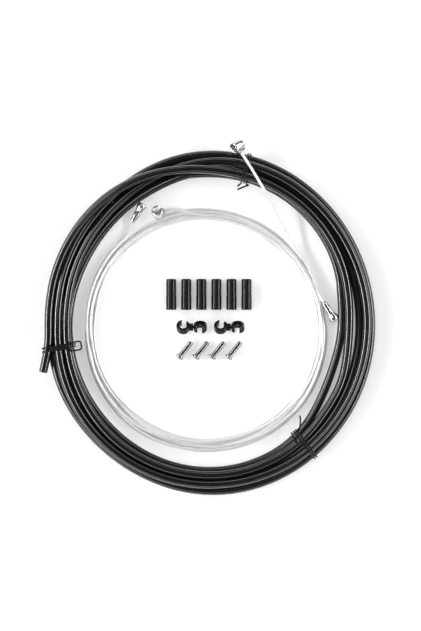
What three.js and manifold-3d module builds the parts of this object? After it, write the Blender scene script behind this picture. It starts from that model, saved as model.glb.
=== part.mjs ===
// Bicycle brake cable set laid flat: housing coil, two inner wires, ferrules, clips and crimp caps.
// Millimetres, +Z up. X runs to the right and Y away, as the set is seen from above.
import * as THREE from 'three';
import { mergeVertices } from 'three/addons/utils/BufferGeometryUtils.js';
import Module from 'manifold-3d';

const wasm = await Module();
wasm.setup();

// Shared clearances
const seatGap = 0.3;
const clearOfCoil = 0.45;

// Housing, wound as one oval bundle with a lower and an upper layer of turns
const housingDiameter = 5;
const housingLowerTurns = 3;
const housingCoilSemiX = 85.8;
const housingCoilSemiY = 90.8;

// Turn of the housing that has sprung inwards beside the lower right tie
const looseTurnStartDeg = -41;
const looseTurnEndDeg = -3;
const looseTurnBow = 1.6;

// Cut end of the housing, leaving the bundle beside the left tie
const freeEndStart = [-94.5, -19.4];
const freeEndTip = [-95.3, -28.2];

// Ties of plastic-coated wire
const tieWireDiameter = 0.95;
const tieLegSpacing = 3.5;
const tieWrapSpacing = 1.5;
const tieTwistRadius = 0.58;
const tieTwistPitch = 7;
const tieTwistFrom = -5.2;
const tieTwistTo = 3.8;
const tieTwistSpacing = 0.75;
const tieFoldReach = 13.2;
const tieFoldLength = 2.6;
const tieFoldDrop = 2.4;
const tieTipDrop = 3.4;
const leftTieDeg = 189;
const topTieDeg = 76.5;
const rightTieDeg = -51.6;

// Tails of the wrapped ties: outwards across the bundle, along it, and up
const topFirstTail = [[-9.4, 6.3, 9.98], [-8.6, 3.2, 9.38], [-8.7, 1.4, 6.98]];
const topLastTail = [[-8.9, -2.4, 5.2], [-9.6, -3, 8.4], [-11, -3.6, 10.18]];
const rightFirstTail = [[-15.2, 7.6, 7.4], [-12.8, 6.2, 8.6], [-9.6, 3.2, 8.4], [-8.8, 1.3, 6.6]];
const rightLastTail = [[-8.9, -2.4, 5.2], [-8.4, -2.9, 8.2], [-6, -3.3, 10.58], [-2.4, -3.6, 11.48]];

// Inner wires, each wound as one round coil inside the housing
const wireDiameter = 1.6;
const wireCoilOuterRadius = 69.3;
const wireCoilX = -1.5;
const wireCoilY = -3.6;
const frontLowerTurns = 2;
const rearLowerTurns = 3;

// Points of the leads beside the wire coil: angle about it, distance beyond its outer edge, height
const frontPearPoints = [[124.76, 5.07, 1.95], [128, 3.16, 1.4], [131.1, 1.86, 1.1]];
const frontPearHeadingDeg = 59.6;
const rearPearPoints = [[12.88, -0.67, 5.4], [17.25, -2.18, 4.7], [21.26, -3.1, 4.19]];
const rearPearHeadingDeg = -58;
const frontLeadPoints = [[46.67, 0.95, 4.8], [40.22, -1.32, 4.09]];
const rearBarrelDeg = 112.6;
const rearBarrelOut = 2.4;
const rearLeadPoints = [[104.5, 1.5, 4.29], [100, -0.6, 4.19]];

// Front barrel head, lying over the housing, and its lead on the way to the wire coil
const frontBarrelX = 16.2;
const frontBarrelY = 100;
const frontBarrelHeadingDeg = -59;
const frontBarrelRiseDeg = 30;
const overHousingPoints = [[22.2, 90.5, 13.06], [26.8, 83.1, 12.66], [31.6, 75.1, 11.76],
  [37, 65.7, 9.2], [42.5, 55.7, 6.5]];
const rearBarrelLeanDeg = 33;

// Barrel head at one end of each inner wire
const barrelDiameter = 7;
const barrelLength = 6.4;
const barrelChamfer = 0.45;
const barrelDishDepth = 0.35;
const barrelRimWidth = 0.8;
const barrelCollarDiameter = 3;
const barrelCollarHeight = 0.6;

// Pear head at the other end of each inner wire
const pearHeadDiameter = 6.2;
const pearStemDiameter = 4.1;
const pearNeckDiameter = 3.2;
const pearStemLength = 8;
const pearHeadLength = 4.5;

// End ferrules for the housing
const ferruleCount = 6;
const ferrulePitch = 8.6;
const ferruleRowX = -0.1;
const ferruleRowY = 16.2;
const ferruleLength = 17.7;
const ferruleSleeveLength = 8.6;
const ferruleSleeveDiameter = 6;
const ferruleNoseDiameter = 5.6;
const ferruleHousingClearance = 0.15;
const ferruleSocketDepth = 8;
const ferruleWireHole = 2.4;
const ferruleNoseRounding = 0.8;

// Swivelling clips that hold two housings side by side
const clipHookDiameter = 7.6;
const clipBoreDiameter = 4.1;
const clipWidth = 4.3;
const clipMouthWidth = 2.6;
const clipMouthFlare = 0.2;
const clipEdge = 0.5;
const clipSocketHookDeg = -36;
const clipSocketMouthDeg = 76;
const clipPinHookDeg = 56;
const clipPinMouthDeg = -100;
const clipHookSpacing = 9.8;
const clipNeckDiameter = 4.3;
const clipPinDiameter = 1.6;
const clipPinHeadDiameter = 2.5;
const clipPinHeadLength = 0.8;
const clipRunningGap = 0.25;
const clipSocketEndWall = 0.7;
const clipRowY = -2.5;
const clipCentresX = [-9.9, 11.5];

// Crimp caps for the cut ends of the inner wires
const crimpCount = 4;
const crimpPitch = 9.35;
const crimpRowX = 0.45;
const crimpRowY = -15.5;
const crimpHeadingDeg = 51.4;
const crimpLength = 11.4;
const crimpBodyDiameter = 2.6;
const crimpFlareDiameter = 3.9;
const crimpFlareLength = 2.2;
const crimpBoreDiameter = 1.9;
const crimpBoreDepth = 9.8;

// Facets around each kind of round form
const housingCoilSegments = 50;
const wireCoilSegments = 40;
const roundSegments = 16;
const smallSegments = 12;
const hookSegments = 9;
const tubeSides = 10;
const thinTubeSides = 8;
const tieSides = 6;
const twistSteps = 8;
const leftTieSteps = 84;
const topTieSteps = 72;
const rightTieSteps = 76;

const degrees = Math.PI / 180;
const part = new THREE.Group();

const finishes = {
  jacket: { color: 0x16171a, roughness: 0.32, metalness: 0 },
  tie: { color: 0x1b1b1d, roughness: 0.5, metalness: 0 },
  steel: { color: 0xc9ccd0, roughness: 0.3, metalness: 1 },
  zinc: { color: 0xbfc2c6, roughness: 0.35, metalness: 1 },
  ferrulePlastic: { color: 0x2b2c2f, roughness: 0.4, metalness: 0 },
  clipPlastic: { color: 0x0d0d0f, roughness: 0.2, metalness: 0 },
  crimpMetal: { color: 0xc2c0bb, roughness: 0.25, metalness: 1 },
};

function addPiece(name, geometry, finish) {
  const mesh = new THREE.Mesh(geometry, new THREE.MeshStandardMaterial(finishes[finish]));
  mesh.name = name;
  part.add(mesh);
  return mesh;
}

function toSolid(geometry) {
  const bare = geometry.clone();
  bare.deleteAttribute('normal');
  bare.deleteAttribute('uv');
  const merged = mergeVertices(bare, 1e-4);
  const triVerts = new Uint32Array(merged.index.array);
  const vertProperties = new Float32Array(merged.attributes.position.array);
  return new wasm.Manifold(new wasm.Mesh({ numProp: 3, vertProperties, triVerts }));
}

function toGeometry(solid) {
  const mesh = solid.getMesh();
  const geometry = new THREE.BufferGeometry();
  geometry.setAttribute('position', new THREE.BufferAttribute(mesh.vertProperties, 3));
  geometry.setIndex(new THREE.BufferAttribute(mesh.triVerts, 1));
  geometry.computeVertexNormals();
  return geometry;
}

// A turned form: profile points are [radius, height], anticlockwise, about the Z axis
function turned(profile, segments) {
  const points = profile.map(([radius, height]) => new THREE.Vector2(radius, height));
  const geometry = new THREE.LatheGeometry(points, segments);
  geometry.rotateX(Math.PI / 2);
  return geometry;
}

// A round tube along a smooth curve through the given points
function tube(points, diameter, sides, steps) {
  const curve = new THREE.CatmullRomCurve3(points.map((point) => new THREE.Vector3(...point)));
  const section = [];
  for (let side = 0; side < sides; side += 1) {
    const angle = (2 * Math.PI * (side + 0.5)) / sides;
    section.push(new THREE.Vector2(Math.cos(angle), Math.sin(angle)).multiplyScalar(diameter / 2));
  }
  const options = { steps, bevelEnabled: false, extrudePath: curve };
  return new THREE.ExtrudeGeometry(new THREE.Shape(section), options);
}

// Centres of the strands in a bundle's section: a lower layer, and an upper layer in its grooves
function strandCentres(diameter, lowerTurns, floorHeight) {
  const lower = [];
  const upper = [];
  const layerRise = diameter * Math.sin(60 * degrees);
  for (let turn = 0; turn < lowerTurns; turn += 1) {
    const offset = (turn - (lowerTurns - 1) / 2) * diameter;
    lower.push([offset, floorHeight + diameter / 2]);
    if (turn > 0) {
      upper.unshift([offset - diameter / 2, floorHeight + diameter / 2 + layerRise]);
    }
  }
  return [...lower, ...upper];
}

// Outline of touching strands: the outer arc of each strand, from one contact to the next
function bundleOutline(centres, diameter, arcStepDeg) {
  const outline = [];
  const count = centres.length;
  for (let index = 0; index < count; index += 1) {
    const [x, z] = centres[index];
    const before = centres[(index + count - 1) % count];
    const after = centres[(index + 1) % count];
    const from = Math.atan2(before[1] - z, before[0] - x);
    let to = Math.atan2(after[1] - z, after[0] - x);
    while (to <= from + 1e-6) {
      to += 2 * Math.PI;
    }
    const steps = Math.round((to - from) / (arcStepDeg * degrees));
    for (let step = 0; step < steps; step += 1) {
      const angle = from + ((to - from) * step) / steps;
      outline.push([x + (Math.cos(angle) * diameter) / 2, z + (Math.sin(angle) * diameter) / 2]);
    }
  }
  return outline;
}

function coilRing(centres, diameter, arcStepDeg, radius, segments) {
  const outline = bundleOutline(centres, diameter, arcStepDeg);
  const profile = outline.map(([offset, height]) => [radius + offset, height]);
  profile.push(profile[0]);
  return turned(profile, segments);
}

// Housing bundle
const bundleFloor = tieWireDiameter + seatGap;
const housingRadius = housingDiameter / 2;
const bundleCentres = strandCentres(housingDiameter, housingLowerTurns, bundleFloor);
const bundleHalfWidth = (housingLowerTurns * housingDiameter) / 2;
const bundleTop = Math.max(...bundleCentres.map((centre) => centre[1])) + housingRadius;

// Distance from the middle of the oval to the bundle's middle line in a given direction
function bundleRadius(angle) {
  const alongX = housingCoilSemiY * Math.cos(angle);
  const alongY = housingCoilSemiX * Math.sin(angle);
  return (housingCoilSemiX * housingCoilSemiY) / Math.hypot(alongX, alongY);
}

function makeHousing() {
  const meanRadius = (housingCoilSemiX + housingCoilSemiY) / 2;
  const ring = coilRing(bundleCentres, housingDiameter, 45, meanRadius, housingCoilSegments);
  ring.scale(housingCoilSemiX / meanRadius, housingCoilSemiY / meanRadius, 1);
  addPiece('housing_coil', ring, 'jacket');

  const loosePoints = [];
  const stations = 8;
  for (let station = 0; station <= stations; station += 1) {
    const along = station / stations;
    const angle = (looseTurnStartDeg + (looseTurnEndDeg - looseTurnStartDeg) * along) * degrees;
    const spring = looseTurnBow * Math.sin(Math.PI * along) ** 2;
    const radius = bundleRadius(angle) - bundleHalfWidth - clearOfCoil - housingRadius - spring;
    const height = bundleFloor + housingRadius;
    loosePoints.push([radius * Math.cos(angle), radius * Math.sin(angle), height]);
  }
  addPiece('housing_loose_turn', tube(loosePoints, housingDiameter, tubeSides, 6), 'jacket');

  const endHeight = bundleFloor + housingRadius;
  const endPoints = [
    [...freeEndStart, endHeight],
    [...freeEndTip, endHeight],
  ];
  addPiece('housing_free_end', tube(endPoints, housingDiameter, tubeSides, 1), 'jacket');
}

// Ties: a path in the bundle's section, x outwards across the bundle and y along it
const tieRadius = tieWireDiameter / 2;
const wrapRadius = housingRadius + seatGap + tieRadius;

function sectionPoint(centre, angleDeg, along) {
  const x = centre[0] + wrapRadius * Math.cos(angleDeg * degrees);
  const z = centre[1] + wrapRadius * Math.sin(angleDeg * degrees);
  return [x, along, Math.max(z, tieRadius)];
}

const innerLower = bundleCentres[0];
const outerLower = bundleCentres[housingLowerTurns - 1];
const outerUpper = bundleCentres[housingLowerTurns];
const innerUpper = bundleCentres[bundleCentres.length - 1];

// Points of one pass over the top of the bundle, from the inner side to the outer side
function overPass(along) {
  return [
    sectionPoint(innerLower, 165, along),
    sectionPoint(innerUpper, 140, along),
    sectionPoint(innerUpper, 95, along),
    sectionPoint(outerUpper, 85, along),
    sectionPoint(outerUpper, 40, along),
    sectionPoint(outerLower, 15, along),
  ];
}

// Points of one pass under the bundle, from the outer side to the inner side
function underPass(alongOuter, alongInner) {
  return [
    sectionPoint(outerLower, -35, alongOuter),
    sectionPoint(outerLower, -75, alongOuter),
    sectionPoint(outerLower, -90, alongOuter),
    [0, (alongOuter + alongInner) / 2, tieRadius],
    sectionPoint(innerLower, -90, alongInner),
    sectionPoint(innerLower, -105, alongInner),
    sectionPoint(innerLower, -145, alongInner),
  ];
}

// The left tie is one wire folded in half: the fold lies inside, the ends are twisted on top
function foldedTiePath() {
  const twistHeight = bundleTop + seatGap + tieRadius + tieTwistRadius;
  const leg = (side) => {
    const points = [];
    for (let step = twistSteps; step >= 0; step -= 1) {
      const x = tieTwistFrom + ((tieTwistTo - tieTwistFrom) * step) / twistSteps;
      const turn = (2 * Math.PI * (x - tieTwistFrom)) / tieTwistPitch;
      const y = side * tieTwistRadius * Math.cos(turn);
      const z = twistHeight + side * tieTwistRadius * Math.sin(turn);
      points.push([x, y, z]);
    }
    points.push(sectionPoint(innerLower, 150, side * tieTwistSpacing));
    const under = underPass((side * tieLegSpacing) / 2, side * tieTwistSpacing).reverse();
    const over = overPass((side * tieLegSpacing) / 2).slice(1).reverse();
    const fold = [[-tieFoldReach + tieFoldLength, (side * tieLegSpacing) / 2, bundleTop - tieFoldDrop]];
    return [...points, ...under, ...over, ...fold];
  };
  const tip = [-tieFoldReach, 0, bundleTop - tieTipDrop];
  return [...leg(1), tip, ...leg(-1).reverse()];
}

// The other ties are wrapped twice, with both ends left as short tails at the inner side
function wrappedTiePath(firstTail, lastTail) {
  const half = tieWrapSpacing / 2;
  return [
    ...firstTail,
    ...overPass(half),
    ...underPass(half, -half),
    ...overPass(-half),
    ...underPass(-half, -3 * half),
    ...lastTail,
  ];
}

function placeTie(mesh, angleDeg) {
  const angle = angleDeg * degrees;
  const radius = bundleRadius(angle);
  mesh.position.set(radius * Math.cos(angle), radius * Math.sin(angle), 0);
  mesh.rotation.z = angle;
}

function makeTies() {
  const paths = [
    ['tie_left', foldedTiePath(), leftTieDeg, leftTieSteps],
    ['tie_top', wrappedTiePath(topFirstTail, topLastTail), topTieDeg, topTieSteps],
    ['tie_right', wrappedTiePath(rightFirstTail, rightLastTail), rightTieDeg, rightTieSteps],
  ];
  for (const [name, path, angleDeg, steps] of paths) {
    const mesh = addPiece(name, tube(path, tieWireDiameter, tieSides, steps), 'tie');
    placeTie(mesh, angleDeg);
  }
}

// Inner wire coils: the front wire's turns lie outside the rear wire's
const frontCoilRadius = wireCoilOuterRadius - (frontLowerTurns * wireDiameter) / 2;
const frontInnerEdge = wireCoilOuterRadius - frontLowerTurns * wireDiameter;
const rearCoilRadius = frontInnerEdge - seatGap - (rearLowerTurns * wireDiameter) / 2;

function makeWireCoils() {
  const coils = [
    ['front_wire_coil', frontLowerTurns, frontCoilRadius],
    ['rear_wire_coil', rearLowerTurns, rearCoilRadius],
  ];
  for (const [name, lowerTurns, radius] of coils) {
    const centres = strandCentres(wireDiameter, lowerTurns, 0);
    const ring = coilRing(centres, wireDiameter, 75, radius, wireCoilSegments);
    const mesh = addPiece(name, ring, 'steel');
    mesh.position.set(wireCoilX, wireCoilY, 0);
  }
}

// Barrel head: turned about its own axis, with a collar where the wire enters its side
function barrelGeometry() {
  const radius = barrelDiameter / 2;
  const half = barrelLength / 2;
  const dishRadius = radius - barrelRimWidth;
  const profile = [
    [0, -half + barrelDishDepth],
    [dishRadius - barrelDishDepth, -half + barrelDishDepth],
    [dishRadius, -half],
    [radius - barrelChamfer, -half],
    [radius, -half + barrelChamfer],
    [radius, half - barrelChamfer],
    [radius - barrelChamfer, half],
    [dishRadius, half],
    [dishRadius - barrelDishDepth, half - barrelDishDepth],
    [0, half - barrelDishDepth],
  ];
  const collarRadius = barrelCollarDiameter / 2;
  const collarTop = radius + barrelCollarHeight;
  const collarProfile = [
    [0, radius / 2],
    [collarRadius, radius / 2],
    [collarRadius, radius],
    [collarRadius - barrelCollarHeight / 2, collarTop],
    [0, collarTop],
  ];
  const collar = turned(collarProfile, smallSegments);
  collar.rotateY(Math.PI / 2);
  return toGeometry(toSolid(turned(profile, roundSegments)).add(toSolid(collar)));
}

// The stretch of a pear head that has its full diameter, measured from the wire end
const pearFullFrom = pearStemLength + pearHeadLength * 0.5;
const pearFullTo = pearStemLength + pearHeadLength * 0.8;

// Pear head: turned about X, with the wire at x = 0 and the round head at the far end
function pearGeometry() {
  const headRadius = pearHeadDiameter / 2;
  const stemRadius = pearStemDiameter / 2;
  const neckRadius = pearNeckDiameter / 2;
  const length = pearStemLength + pearHeadLength;
  const profile = [
    [0, 0],
    [neckRadius - 0.3, 0],
    [neckRadius, 0.5],
    [stemRadius, pearStemLength * 0.55],
    [stemRadius, pearStemLength * 0.9],
    [headRadius - 0.2, pearStemLength + pearHeadLength * 0.35],
    [headRadius, pearFullFrom],
    [headRadius, pearFullTo],
    [headRadius - 0.5, length - 0.2],
    [headRadius - 1.1, length],
    [0, length],
  ];
  const geometry = turned(profile, roundSegments);
  geometry.rotateY(Math.PI / 2);
  return geometry;
}

// Wire leads between the coils and the heads, with the head that each one ends in
const coilTop = wireDiameter * (1 + Math.sin(60 * degrees));
const leadOverCoil = coilTop + seatGap + wireDiameter / 2;

function onWireCoil(angleDeg, radius, height) {
  const angle = angleDeg * degrees;
  return [wireCoilX + radius * Math.cos(angle), wireCoilY + radius * Math.sin(angle), height];
}

// A point beside the wire coil: angle about it, distance beyond its outer edge, height
function besideWireCoil([angleDeg, out, height]) {
  return onWireCoil(angleDeg, wireCoilOuterRadius + out, height);
}

function makeFrontBarrel() {
  const overTie = bundleTop + seatGap + tieWireDiameter + seatGap + wireDiameter / 2;
  const centre = [frontBarrelX, frontBarrelY, overTie];
  const head = addPiece('front_barrel_head', barrelGeometry(), 'zinc');
  head.rotation.order = 'ZXY';
  head.rotation.set((90 - frontBarrelRiseDeg) * degrees, 0, frontBarrelHeadingDeg * degrees);
  head.position.set(...centre);
  const reach = barrelDiameter / 2 + barrelCollarHeight + seatGap;
  const start = [
    centre[0] + reach * Math.cos(frontBarrelHeadingDeg * degrees),
    centre[1] + reach * Math.sin(frontBarrelHeadingDeg * degrees),
    centre[2],
  ];
  const lead = [start, ...overHousingPoints, ...frontLeadPoints.map(besideWireCoil)];
  addPiece('front_barrel_lead', tube(lead, wireDiameter, thinTubeSides, 20), 'steel');
}

function makeRearBarrel() {
  const stand = (barrelLength / 2) * Math.cos(rearBarrelLeanDeg * degrees);
  const edge = (barrelDiameter / 2) * Math.sin(rearBarrelLeanDeg * degrees);
  const centre = besideWireCoil([rearBarrelDeg, rearBarrelOut, stand + edge]);
  const head = addPiece('rear_barrel_head', barrelGeometry(), 'zinc');
  head.rotation.order = 'ZXY';
  head.rotation.set(-rearBarrelLeanDeg * degrees, 0, (rearBarrelDeg - 90) * degrees);
  head.position.set(...centre);
  const reach = barrelDiameter / 2 + barrelCollarHeight + seatGap;
  const heading = (rearBarrelDeg - 90) * degrees;
  const start = [
    centre[0] + reach * Math.cos(heading),
    centre[1] + reach * Math.sin(heading),
    centre[2],
  ];
  const lead = [
    start,
    ...rearLeadPoints.map(besideWireCoil),
    onWireCoil(95, rearCoilRadius + 1.6, leadOverCoil),
  ];
  addPiece('rear_barrel_lead', tube(lead, wireDiameter, thinTubeSides, 6), 'steel');
}

function makePear(name, wireEnd, headingDeg, lead, steps) {
  const heading = headingDeg * degrees;
  const headHeight = pearHeadDiameter / 2 + 0.02;
  const contact = wireEnd[2] > headHeight ? pearFullTo : pearFullFrom;
  const drop = Math.asin((wireEnd[2] - headHeight) / contact);
  const head = addPiece(`${name}_pear_head`, pearGeometry(), 'zinc');
  head.rotation.order = 'ZYX';
  head.rotation.set(0, drop, heading);
  head.position.set(...wireEnd);
  const start = [
    wireEnd[0] - seatGap * Math.cos(heading),
    wireEnd[1] - seatGap * Math.sin(heading),
    wireEnd[2],
  ];
  addPiece(`${name}_pear_lead`, tube([start, ...lead], wireDiameter, thinTubeSides, steps), 'steel');
}

function makePears() {
  const besideCoil = wireCoilOuterRadius + seatGap + wireDiameter / 2;
  const [frontEnd, ...frontLead] = frontPearPoints.map(besideWireCoil);
  const frontJoin = onWireCoil(134.9, besideCoil, wireDiameter / 2 + 0.1);
  makePear('front', frontEnd, frontPearHeadingDeg, [...frontLead, frontJoin], 5);
  const [rearEnd, ...rearLead] = rearPearPoints.map(besideWireCoil);
  const rearJoin = onWireCoil(25.5, rearCoilRadius + 1.9, leadOverCoil);
  makePear('rear', rearEnd, rearPearHeadingDeg, [...rearLead, rearJoin], 5);
}

// Ferrule: a sleeve that takes the housing, stepping down to a round nose with a wire hole
function ferruleGeometry() {
  const sleeveRadius = ferruleSleeveDiameter / 2;
  const noseRadius = ferruleNoseDiameter / 2;
  const socketRadius = housingRadius + ferruleHousingClearance / 2;
  const holeRadius = ferruleWireHole / 2;
  const rounding = ferruleNoseRounding;
  const profile = [
    [socketRadius, 0],
    [sleeveRadius - 0.25, 0],
    [sleeveRadius, 0.3],
    [sleeveRadius, ferruleSleeveLength],
    [noseRadius, ferruleSleeveLength + 0.25],
    [noseRadius, ferruleLength - rounding],
    [noseRadius - rounding * 0.3, ferruleLength - rounding * 0.3],
    [noseRadius - rounding, ferruleLength],
    [holeRadius, ferruleLength],
    [holeRadius, ferruleSocketDepth],
    [socketRadius, ferruleSocketDepth],
    [socketRadius, 0],
  ];
  const geometry = turned(profile, roundSegments);
  geometry.rotateZ(Math.PI / roundSegments);
  geometry.rotateX(-Math.PI / 2);
  return geometry;
}

function makeFerrules() {
  const flatRadius = (ferruleSleeveDiameter / 2) * Math.cos(Math.PI / roundSegments);
  for (let index = 0; index < ferruleCount; index += 1) {
    const mesh = addPiece(`ferrule_${index + 1}`, ferruleGeometry(), 'ferrulePlastic');
    const x = ferruleRowX + (index - (ferruleCount - 1) / 2) * ferrulePitch;
    mesh.position.set(x, ferruleRowY - ferruleLength / 2, flatRadius);
  }
}

// Clip hook: an open ring with a flared mouth that faces the given way, its bore along Z
function hookGeometry(mouthDeg) {
  const outerRadius = clipHookDiameter / 2 - clipEdge;
  const boreRadius = clipBoreDiameter / 2 + clipEdge;
  const outerMouth = Math.asin((clipMouthWidth / 2 + clipMouthFlare) / outerRadius);
  const boreMouth = Math.asin((clipMouthWidth / 2) / boreRadius);
  const mouth = mouthDeg * degrees;
  const shape = new THREE.Shape();
  shape.absarc(0, 0, outerRadius, mouth + outerMouth, mouth - outerMouth + 2 * Math.PI, false);
  shape.absarc(0, 0, boreRadius, mouth - boreMouth + 2 * Math.PI, mouth + boreMouth, true);
  const geometry = new THREE.ExtrudeGeometry(shape, {
    depth: clipWidth - 2 * clipEdge,
    steps: 1,
    curveSegments: hookSegments,
    bevelEnabled: true,
    bevelSize: clipEdge,
    bevelThickness: clipEdge,
    bevelSegments: 1,
  });
  geometry.translate(0, 0, clipEdge - clipWidth / 2);
  return geometry;
}

const clipPinRadius = clipPinDiameter / 2;
const clipHeadRadius = clipPinHeadDiameter / 2;
const clipNeckEnd = clipHookSpacing - clipHookDiameter / 2 - clipRunningGap;
const clipSocketFloor = clipBoreDiameter / 2 + clipSocketEndWall;
const clipHeadTip = clipSocketFloor + clipRunningGap;
const clipHeadBack = clipHeadTip + clipPinHeadLength;

// Hook with the socket: a neck on its side, bored to take the other hook's headed pin
function socketHookGeometry() {
  const neckRadius = clipNeckDiameter / 2;
  const neck = turned([[0, clipSocketFloor - 0.2], [neckRadius, clipSocketFloor - 0.2],
    [neckRadius, clipNeckEnd], [0, clipNeckEnd]], roundSegments);
  const mouthRadius = clipPinRadius + clipRunningGap;
  const pocketRadius = clipHeadRadius + clipRunningGap;
  const lip = clipHeadBack + clipRunningGap;
  const bore = turned([[0, clipSocketFloor], [pocketRadius, clipSocketFloor], [pocketRadius, lip],
    [mouthRadius, lip], [mouthRadius, clipNeckEnd + 1], [0, clipNeckEnd + 1]], smallSegments);
  neck.rotateY(Math.PI / 2);
  bore.rotateY(Math.PI / 2);
  return toGeometry(toSolid(hookGeometry(clipSocketMouthDeg)).add(toSolid(neck)).subtract(toSolid(bore)));
}

// Hook with the pin: its centre is at the hook spacing, and the pin reaches back into the neck
function pinHookGeometry() {
  const hook = hookGeometry(clipPinMouthDeg);
  hook.translate(clipHookSpacing, 0, 0);
  const root = clipHookSpacing - clipHookDiameter / 2 + 0.9;
  const pin = turned([[0, clipHeadTip], [clipHeadRadius - 0.3, clipHeadTip],
    [clipHeadRadius, clipHeadTip + 0.3], [clipHeadRadius, clipHeadBack],
    [clipPinRadius, clipHeadBack], [clipPinRadius, root], [0, root]], smallSegments);
  pin.rotateY(Math.PI / 2);
  return toGeometry(toSolid(hook).add(toSolid(pin)));
}

function makeClips() {
  clipCentresX.forEach((centreX, index) => {
    const firstHookX = centreX - clipHookSpacing / 2;
    const socketHook = addPiece(`clip_${index + 1}_socket_hook`, socketHookGeometry(), 'clipPlastic');
    const pinHook = addPiece(`clip_${index + 1}_pin_hook`, pinHookGeometry(), 'clipPlastic');
    socketHook.rotation.x = clipSocketHookDeg * degrees;
    pinHook.rotation.x = clipPinHookDeg * degrees;
    const boxes = [socketHook, pinHook].map((hook) => new THREE.Box3().setFromObject(hook, true));
    const axisHeight = -Math.min(...boxes.map((box) => box.min.z));
    socketHook.position.set(firstHookX, clipRowY, axisHeight);
    pinHook.position.set(firstHookX, clipRowY, axisHeight);
  });
}

// Crimp cap: a thin tube with a domed end and a flared mouth, lying on both rims
function crimpGeometry() {
  const bodyRadius = crimpBodyDiameter / 2;
  const flareRadius = crimpFlareDiameter / 2;
  const boreRadius = crimpBoreDiameter / 2;
  const wall = bodyRadius - boreRadius;
  const profile = [
    [flareRadius - wall, 0],
    [flareRadius, 0],
    [flareRadius, 0.35],
    [bodyRadius + 0.25, crimpFlareLength * 0.75],
    [bodyRadius, crimpFlareLength],
    [bodyRadius, crimpLength - 0.9],
    [bodyRadius * 0.75, crimpLength - 0.2],
    [bodyRadius * 0.3, crimpLength],
    [0, crimpLength],
    [0, crimpBoreDepth],
    [boreRadius, crimpBoreDepth],
    [boreRadius, crimpFlareLength],
    [flareRadius - wall, 0.35],
    [flareRadius - wall, 0],
  ];
  const geometry = turned(profile, smallSegments);
  geometry.rotateY(Math.PI / 2);
  return geometry;
}

function makeCrimpCaps() {
  const heading = crimpHeadingDeg * degrees;
  const run = crimpLength - 0.9;
  const flareRadius = crimpFlareDiameter / 2;
  const dip = Math.asin((flareRadius - crimpBodyDiameter / 2) / run);
  for (let index = 0; index < crimpCount; index += 1) {
    const mesh = addPiece(`crimp_cap_${index + 1}`, crimpGeometry(), 'crimpMetal');
    const x = crimpRowX + (index - (crimpCount - 1) / 2) * crimpPitch;
    const mouthX = x - (crimpLength / 2) * Math.cos(heading);
    const mouthY = crimpRowY - (crimpLength / 2) * Math.sin(heading);
    mesh.rotation.order = 'ZYX';
    mesh.rotation.set(0, dip, heading);
    mesh.position.set(mouthX, mouthY, flareRadius + 0.03);
  }
}

makeHousing();
makeTies();
makeWireCoils();
makeFrontBarrel();
makeRearBarrel();
makePears();
makeFerrules();
makeClips();
makeCrimpCaps();

// The origin is the middle of the footprint, on the surface that the set lies on
part.updateMatrixWorld(true);
const bounds = new THREE.Box3().setFromObject(part, true);
part.position.x = -(bounds.min.x + bounds.max.x) / 2;
part.position.y = -(bounds.min.y + bounds.max.y) / 2;
part.position.z = -bounds.min.z;

export default part;
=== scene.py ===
import bpy
import math
import numpy as np
from mathutils import Matrix, Vector


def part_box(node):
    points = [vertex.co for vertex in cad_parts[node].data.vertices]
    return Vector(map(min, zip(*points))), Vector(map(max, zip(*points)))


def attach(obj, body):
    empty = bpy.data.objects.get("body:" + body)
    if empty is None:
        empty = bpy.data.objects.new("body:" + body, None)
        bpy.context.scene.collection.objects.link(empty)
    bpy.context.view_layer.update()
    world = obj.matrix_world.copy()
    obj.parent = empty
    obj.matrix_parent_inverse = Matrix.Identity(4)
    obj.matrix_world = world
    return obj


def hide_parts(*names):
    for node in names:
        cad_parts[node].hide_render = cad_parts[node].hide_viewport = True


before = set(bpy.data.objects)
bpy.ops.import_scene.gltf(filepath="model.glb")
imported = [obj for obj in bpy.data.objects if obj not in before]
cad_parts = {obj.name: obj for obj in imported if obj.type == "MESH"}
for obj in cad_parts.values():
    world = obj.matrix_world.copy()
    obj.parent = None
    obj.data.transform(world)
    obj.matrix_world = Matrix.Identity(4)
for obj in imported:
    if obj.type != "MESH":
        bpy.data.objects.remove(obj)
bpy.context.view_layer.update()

mm = 0.001
scene = bpy.context.scene


def middleOf(node):
    low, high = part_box(node)
    return np.array((low + high) / 2) / mm


# everything below is in millimetres, measured from the middle of the housing ring on the floor
ringMiddle = middleOf("housing_coil") * (1, 1, 0)


def toFrame(points):
    return (np.asarray(points, float) + ringMiddle) * mm


# camera, first because the cords are measured against its view
camera = {
    "target": (0.84, 4.13),
    "pictureHeight": 359.7,
    "planeHeight": 5,
    "distance": 1600,
    "sensor": 36,
}


def placeCamera():
    data = bpy.data.cameras.new("camera")
    data.sensor_width = camera["sensor"]
    data.lens = camera["sensor"] * camera["distance"] / camera["pictureHeight"]
    data.clip_start, data.clip_end = 0.1, 10
    eye = bpy.data.objects.new("camera", data)
    x, y = camera["target"]
    eye.location = toFrame((x, y, camera["planeHeight"] + camera["distance"]))
    scene.collection.objects.link(eye)
    scene.camera = eye


placeCamera()


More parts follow.
